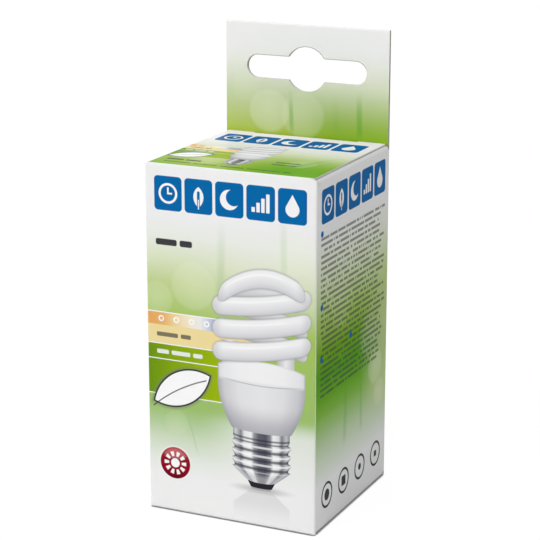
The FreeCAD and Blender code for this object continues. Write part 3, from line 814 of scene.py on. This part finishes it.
def lid_side(at, normal):
    """The side that a face of the lid belongs to, from its middle and its normal."""
    top_drop, crease_reach, slit_start, tuck_drop = 0.7, 0.5, 14, 5
    leaning, square, level, slight = 0.5, 0.6, 0.9, 0.3
    on_top = normal.z > leaning and at.z > LID_TOP - top_drop
    on_crease = normal.y < -leaning and at.y < -HALF_DEPTH + crease_reach
    in_slit = normal.y > level and at.z > LID_TOP - BOARD and abs(at.x) > slit_start
    if on_top or on_crease:
        return "top"
    if abs(normal.x) > square or in_slit:
        return "edge"
    if normal.y > slight:
        return "plain"
    if normal.z < -square and at.z < LID_TOP - tuck_drop:
        return "edge"
    return "inside"


def make_carton():
    """The printed carton and its lid."""
    plain, inside, edge = plain_print("plain_print"), inside_board(), cut_edge()
    sides = {
        "front": front_print(), "side": side_print(), "tab": tab_print(),
        "plain": plain, "inside": inside, "edge": edge}
    carton = merged_copy("carton", "printed_carton", sides, carton_side, crisp_folds)
    lid_sides = {"top": lid_print(), "plain": plain, "inside": inside, "edge": edge}
    lid = merged_copy("lid", "printed_lid", lid_sides, lid_side)
    for piece, node in ((carton, "carton"), (lid, "lid")):
        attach(piece, node)
        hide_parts(node)


def make_crease():
    """Strip of board that bends from the front wall into the lid."""
    half, bend, ply, sunk, lap, steps = HALF_WIDTH - FOLD, 0.34, 0.14, 0.06, 0.1, 24
    y_mid, z_mid = -HALF_DEPTH + bend, LID_TOP - bend
    turns = [math.radians(180 - 90 * i / 10) for i in range(11)]

    def side(depth):
        """One side of the strip's section, from the wall round to the lid."""
        radius = bend - depth
        arc = [(y_mid + radius * math.cos(t), z_mid + radius * math.sin(t)) for t in turns]
        return [(-HALF_DEPTH + sunk + depth, z_mid - lap), *arc, (y_mid + lap, LID_TOP - sunk - depth)]

    section = side(0.0) + side(ply)[::-1]
    count = len(section)
    shape = bmesh.new()
    rows = [[shape.verts.new(Vector((-half + 2 * half * k / steps, y, z)) * MM) for y, z in section]
            for k in range(steps + 1)]
    for one, two in zip(rows, rows[1:]):
        for i in range(count):
            j = (i + 1) % count
            shape.faces.new((one[i], one[j], two[j], two[i])).smooth = True
    shape.faces.new(rows[0])
    shape.faces.new(rows[-1])
    bmesh.ops.recalc_face_normals(shape, faces=shape.faces)
    piece = add_object("lid_crease", mesh_from(shape, "lid_crease", [plain_print("crease_print")]))
    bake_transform(piece)


# Lamp pieces

def geometry_tree(name, numbers):
    """An empty geometry tree with named number inputs."""
    group = bpy.data.node_groups.new(name, "GeometryNodeTree")
    group.interface.new_socket("Geometry", in_out="INPUT", socket_type="NodeSocketGeometry")
    group.interface.new_socket("Geometry", in_out="OUTPUT", socket_type="NodeSocketGeometry")
    names = {}
    for title in numbers:
        kind = "NodeSocketInt" if isinstance(numbers[title], int) else "NodeSocketFloat"
        names[title] = group.interface.new_socket(title, in_out="INPUT", socket_type=kind).identifier
    tree = Tree(group)
    entry = group.nodes.new("NodeGroupInput")
    inputs = {title: Field(tree, entry.outputs[title]) for title in ("Geometry", *numbers)}
    return tree, inputs, names


def settle(piece, tree, names, numbers, result, material):
    """Sets the inputs, evaluates the tree and keeps the result as a plain mesh."""
    real = tree.node("GeometryNodeRealizeInstances", {}, {0: result})
    smooth = tree.node("GeometryNodeSetShadeSmooth", {}, {0: real})
    dressed = tree.node("GeometryNodeSetMaterial", {}, {"Geometry": smooth, "Material": material})
    tree.node("NodeGroupOutput", {}, {0: dressed})
    modifier = piece.modifiers.new("shape", "NODES")
    modifier.node_group = tree.nodes_of
    for title, number in numbers.items():
        modifier[names[title]] = number
    evaluated = piece.evaluated_get(bpy.context.evaluated_depsgraph_get())
    mesh = bpy.data.meshes.new_from_object(evaluated)
    mesh.name = piece.name
    piece.modifiers.remove(modifier)
    piece.data = mesh
    return piece


def spiral_path():
    """Centre line of the tube: up from the cover, round in two arms, and over the crown."""
    low, high = (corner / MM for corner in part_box("lamp_spiral"))
    radius, leg, bend, turns, pitch, steps = 3.4, 12.5, 5.0, 1.3, 15.2, 60
    slack, rise = 0.05, 1.5
    reach, foot = high.x - radius + slack, low.z
    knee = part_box("lamp_cover")[1].z / MM + rise
    arm = [Vector((leg, 0, foot + (knee - foot) * i / 4)) for i in range(5)]
    for lean in map(math.radians, range(10, 61, 10)):
        arm.append(Vector((leg, bend * (1 - math.cos(lean)), knee + bend * math.sin(lean))))
    start, near, sweep = math.atan2(bend, leg), math.hypot(leg, bend), 2 * math.pi * turns
    for i in range(3, steps + 1):
        turn = sweep * i / steps
        out = reach - (reach - near) * math.exp(-turn)
        arm.append(Vector((out * math.cos(start + turn), out * math.sin(start + turn),
                           knee + bend + pitch * turn / (2 * math.pi))))
    top = arm[-1].z
    end = start + sweep
    for curl in map(math.radians, range(12, 181, 12)):
        x, y = out / 2 * (1 + math.cos(curl)), out / 2 * math.sin(curl)
        arm.append(Vector((x * math.cos(end) - y * math.sin(end), x * math.sin(end) + y * math.cos(end),
                           top + (high.z - radius - top) * math.sin(curl / 2))))
    return arm + [Vector((-p.x, -p.y, p.z)) for p in reversed(arm[:-1])], radius


def make_spiral(material):
    """Glass tube swept along its centre line."""
    path, radius = spiral_path()
    mesh = bpy.data.meshes.new("spiral_tube")
    mesh.from_pydata([p * MM for p in path], [(i, i + 1) for i in range(len(path) - 1)], [])
    piece = add_object("spiral_tube", mesh)
    numbers = {"Tube radius": radius * MM, "Sides": 24, "Rings": 260}
    tree, inputs, names = geometry_tree("tube_along_path", numbers)
    line = tree.node("GeometryNodeMeshToCurve", {}, {0: inputs["Geometry"]})
    even = tree.node("GeometryNodeResampleCurve", {}, {"Curve": line, "Count": inputs["Rings"]})
    hoop = tree.node("GeometryNodeCurvePrimitiveCircle", {},
                     {"Resolution": inputs["Sides"], "Radius": inputs["Tube radius"]})
    tube = tree.node("GeometryNodeCurveToMesh", {},
                     {"Curve": even, "Profile Curve": hoop, "Fill Caps": True})
    return settle(piece, tree, names, numbers, tube, material)


def make_thread(material):
    """Rolled screw cap: a sheet wrapped round the axis, its radius waved along a helix."""
    low, high = (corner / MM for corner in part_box("lamp_screw_cap"))
    piece = add_object("rolled_cap", bpy.data.meshes.new("rolled_cap"))
    numbers = {"Foot": low.z * MM, "Height": (high.z - low.z) * MM, "Outer radius": high.x * MM,
               "Foot radius": 9.2 * MM, "Cone": 3.4 * MM, "Lead": 3.6 * MM, "Depth": 0.9 * MM}
    tree, inputs, names = geometry_tree("rolled_thread", numbers)
    sheet = tree.node("GeometryNodeMeshGrid", {},
                      {"Size X": 1.0, "Size Y": 1.0, "Vertices X": 97, "Vertices Y": 90})
    across, along, _ = tree.split(tree.node("GeometryNodeInputPosition"))
    turn, rise = (across + 0.5) * (2 * math.pi), (along + 0.5) * inputs["Height"]
    wave = ((rise / inputs["Lead"]) * (2 * math.pi) - turn).cosine() * 0.5 + 0.5
    start, full, ease, stop = (level * MM for level in (3.0, 5.0, 16.0, 17.5))
    zone = rise.fade(start, full) * rise.fade(stop, ease)
    outer, foot = inputs["Outer radius"], inputs["Foot radius"]
    cone = foot + (outer - foot) * (rise / inputs["Cone"])
    radius = (outer - inputs["Depth"] * wave * zone).least(cone)
    place = tree.node("ShaderNodeCombineXYZ", {},
                      {0: radius * turn.cosine(), 1: radius * turn.sine(), 2: rise + inputs["Foot"]})
    wrapped = tree.node("GeometryNodeSetPosition", {}, {"Geometry": sheet, "Position": place})
    closed = tree.node("GeometryNodeMergeByDistance", {}, {"Geometry": wrapped, "Distance": WELD})
    settle(piece, tree, names, numbers, closed, material)
    wall = piece.modifiers.new("wall", "SOLIDIFY")
    wall.thickness, wall.offset, wall.use_rim = 0.35 * MM, -1.0, True
    return piece


def make_lamp():
    """The lamp inside the carton."""
    plastic = moulded_plastic()
    pieces = [(make_spiral(coated_glass()), "lamp_spiral", "coated_glass"),
              (make_thread(cap_metal()), "lamp_screw_cap", "cap_metal")]
    for node, name, material, slot in (
            ("lamp_cover", "tube_cover", plastic, "lamp_plastic"),
            ("lamp_housing", "ballast_housing", plastic, "lamp_plastic"),
            ("lamp_insulator", "cap_insulator", cap_insulator(), "cap_insulator"),
            ("lamp_contact", "cap_contact", contact_metal(), "contact_metal")):
        piece = merged_copy(node, name, {"all": material}, lambda at, normal: "all")
        pieces.append((piece, node, slot))
    for piece, node, slot in pieces:
        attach(piece, "carton")
        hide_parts(node)


# Studio

LIGHT_SIZE = 0.7


def seen_directly(make):
    """1 for rays from the camera, from a gloss and through glass."""
    path = make.node("ShaderNodeLightPath").socket.node.outputs
    kinds = ("Is Camera Ray", "Is Glossy Ray", "Is Transmission Ray")
    camera, gloss, glass = (Field(make, path[kind]) for kind in kinds)
    return camera.most(gloss).most(glass)


def make_floor():
    """Pale floor that shows white to the camera and keeps the shadow close to the carton, where its colour
    also darkens with ambient occlusion as a painted contact shadow.
    """
    mesh = bpy.data.meshes.new("floor")
    reach, level, shadow_reach = 3.0, -0.02 * MM, 0.95 * MM
    corners = ((-reach, -reach), (reach, -reach), (reach, reach), (-reach, reach))
    mesh.from_pydata([(x, y, level) for x, y in corners], [], [(0, 1, 2, 3)])
    floor = add_object("floor", mesh)
    make = Finish("pale_floor")
    open_sky = make.node("ShaderNodeAmbientOcclusion", {"samples": 16}, {"Distance": shadow_reach}, 1)
    # Painted contact shadow: the floor's colour darkens to grey where the ambient occlusion finds the
    # carton close.
    tone = make.mix(open_sky.fade(0.5, 0.85), grey(110), grey(244))
    lit = make.node("ShaderNodeBsdfDiffuse", {}, {"Color": tone})
    white = make.node("ShaderNodeEmission", {}, {"Color": (1, 1, 1, 1), "Strength": 1.035})
    share = seen_directly(make) * open_sky.fade(0.5, 0.95, 0.15, 0.91)
    surface = make.node("ShaderNodeMixShader", {}, {0: share, 1: lit, 2: white})
    make.node("ShaderNodeOutputMaterial", {}, {0: surface})
    mesh.materials.append(make.material)


def make_world():
    """Even fill light, with white behind everything."""
    world = bpy.data.worlds.new("studio")
    bpy.context.scene.world = world
    world.use_nodes = True
    world.node_tree.nodes.clear()
    make = Tree(world.node_tree)
    fill = make.node("ShaderNodeBackground", {}, {"Color": (1, 1, 1, 1), "Strength": 0.395})
    white = make.node("ShaderNodeBackground", {}, {"Color": (1, 1, 1, 1), "Strength": 1.0})
    surface = make.node("ShaderNodeMixShader", {}, {0: seen_directly(make), 1: fill, 2: white})
    make.node("ShaderNodeOutputWorld", {}, {0: surface})


def make_light(name, place, aim, power):
    """A soft round light that points at aim."""
    light = bpy.data.lights.new(name, "AREA")
    light.shape, light.size, light.energy = "DISK", LIGHT_SIZE, power
    lamp = add_object(name, light)
    lamp.location = place
    lamp.rotation_euler = (Vector(aim) - Vector(place)).to_track_quat("-Z", "Y").to_euler()


def make_camera():
    """Long lens at the photograph's angle, over a 540 by 540 image."""
    azimuth, height, distance = math.radians(25.055), math.radians(15.298), 0.48453
    aim = Vector((0.00003, 0, 0.05961))
    sensor, focal_pixels, image_pixels = 36, 1911.98, 540
    level = math.cos(height)
    back = Vector((math.sin(azimuth) * level, -math.cos(azimuth) * level, math.sin(height)))
    data = bpy.data.cameras.new("camera")
    data.sensor_width, data.lens = sensor, sensor * focal_pixels / image_pixels
    data.clip_start = 0.01
    camera = add_object("camera", data)
    camera.location = aim + back * distance
    camera.rotation_euler = (-back).to_track_quat("-Z", "Y").to_euler()
    bpy.context.scene.camera = camera


make_carton()
make_crease()
make_lamp()
make_floor()
make_world()
make_light("key", (-0.55, -1.0, 0.75), (0, 0, 0.06), 7.9)
make_light("top", (0.1, -0.2, 1.2), (0, 0, 0.09), 4.4)
make_light("back", (-0.4, 1.0, 0.6), (0, 0, 0.06), 2.5)
make_camera()
bpy.context.scene.view_settings.view_transform = "Standard"
